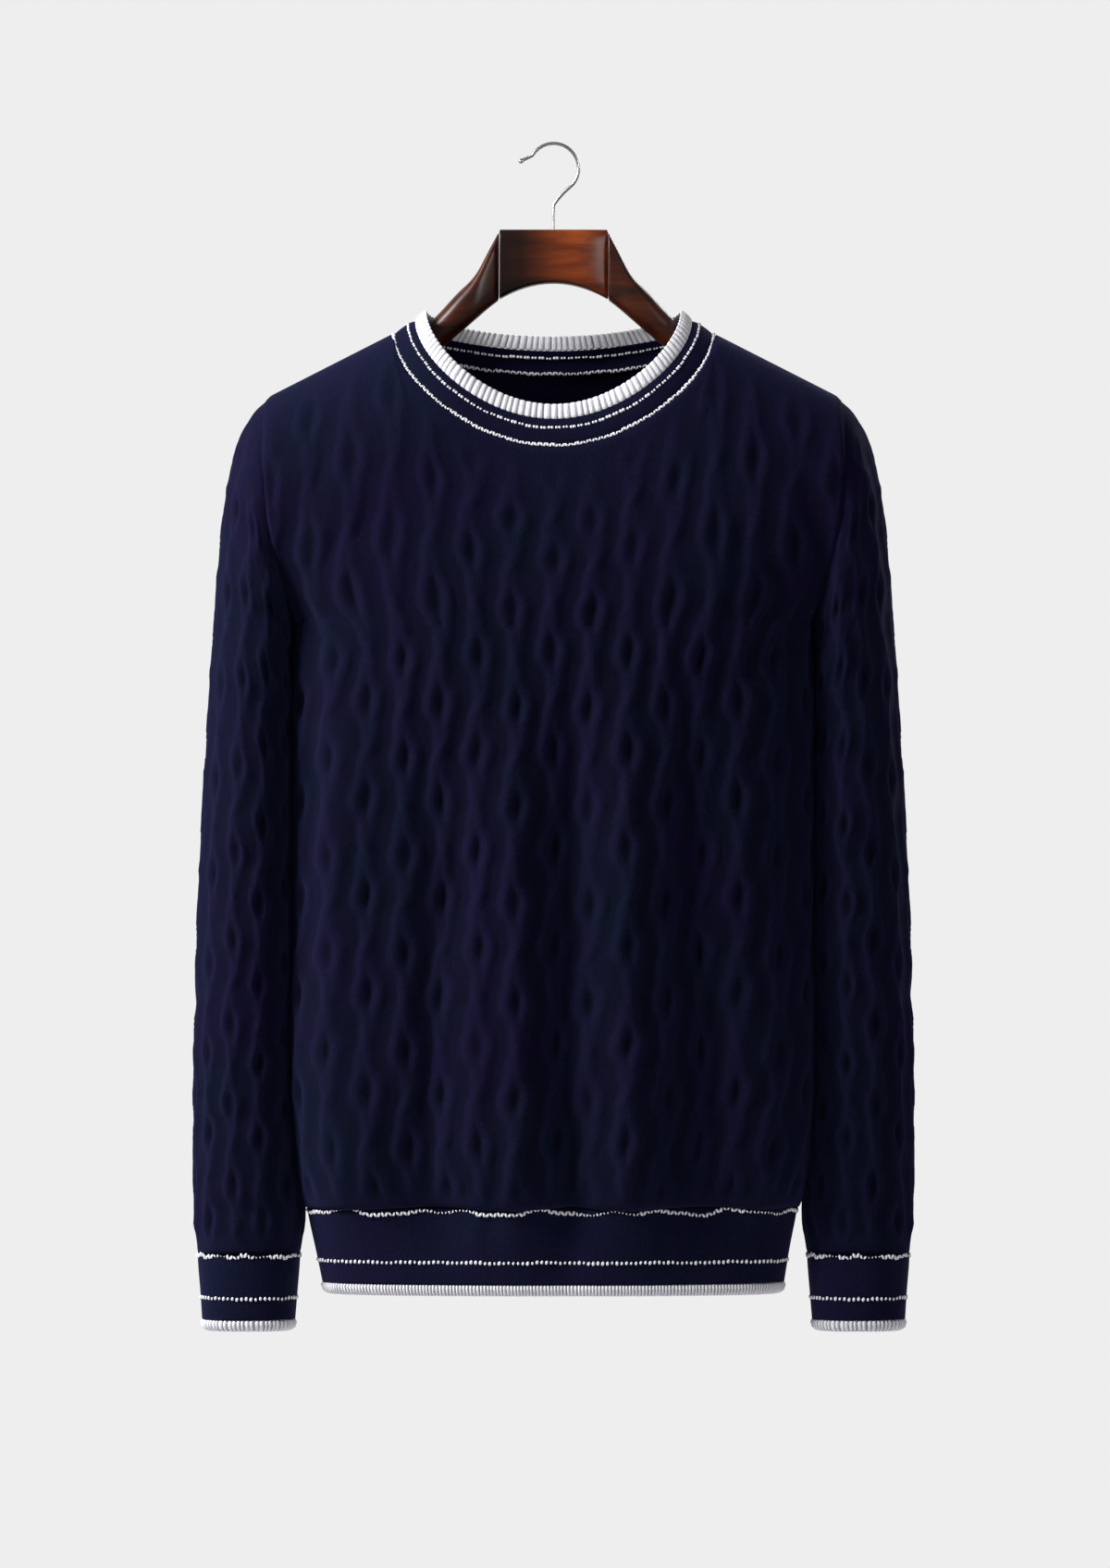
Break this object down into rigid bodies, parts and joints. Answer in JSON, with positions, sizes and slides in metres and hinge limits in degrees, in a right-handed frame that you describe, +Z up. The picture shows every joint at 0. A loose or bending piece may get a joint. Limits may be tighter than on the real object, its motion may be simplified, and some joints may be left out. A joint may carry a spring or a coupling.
{
  "type": "cable-knit crew-neck sweater on a wooden hanger",
  "caption": "Long-sleeved navy cable-knit pullover with white tipping at neck, hem and cuffs, hollow and open, hung on a wooden hanger with a steel hook.",
  "frame": {"origin": "the seat inside the top of the hanger hook's bend, where a rail holds it", "axes": "+Z up along the hook's shaft, +X to the viewer's right across the shoulders, the garment's front faces -Y"},
  "size_m": [0.5232, 0.1485, 0.8583],
  "materials": {
    "navy_knit": "matte wool-blend knit with raised chain cables",
    "white_rib_knit": "matte ribbed knit",
    "lacquered_wood": "dark red-brown gloss lacquer",
    "polished_steel": "polished steel wire"
  },
  "bodies": {
    "root": {"front_panel": "navy_knit", "back_panel": "navy_knit", "sleeve_left": "navy_knit", "sleeve_right": "navy_knit", "neck_band": "navy_knit", "neck_rib": "white_rib_knit", "hem_band": "navy_knit", "hem_rib": "white_rib_knit", "cuff_band_left": "navy_knit", "cuff_band_right": "navy_knit", "cuff_rib_left": "white_rib_knit", "cuff_rib_right": "white_rib_knit", "hanger_block": "lacquered_wood", "hanger_arm_left": "lacquered_wood", "hanger_arm_right": "lacquered_wood", "hanger_hook": "polished_steel"}
  },
  "joints": []
}
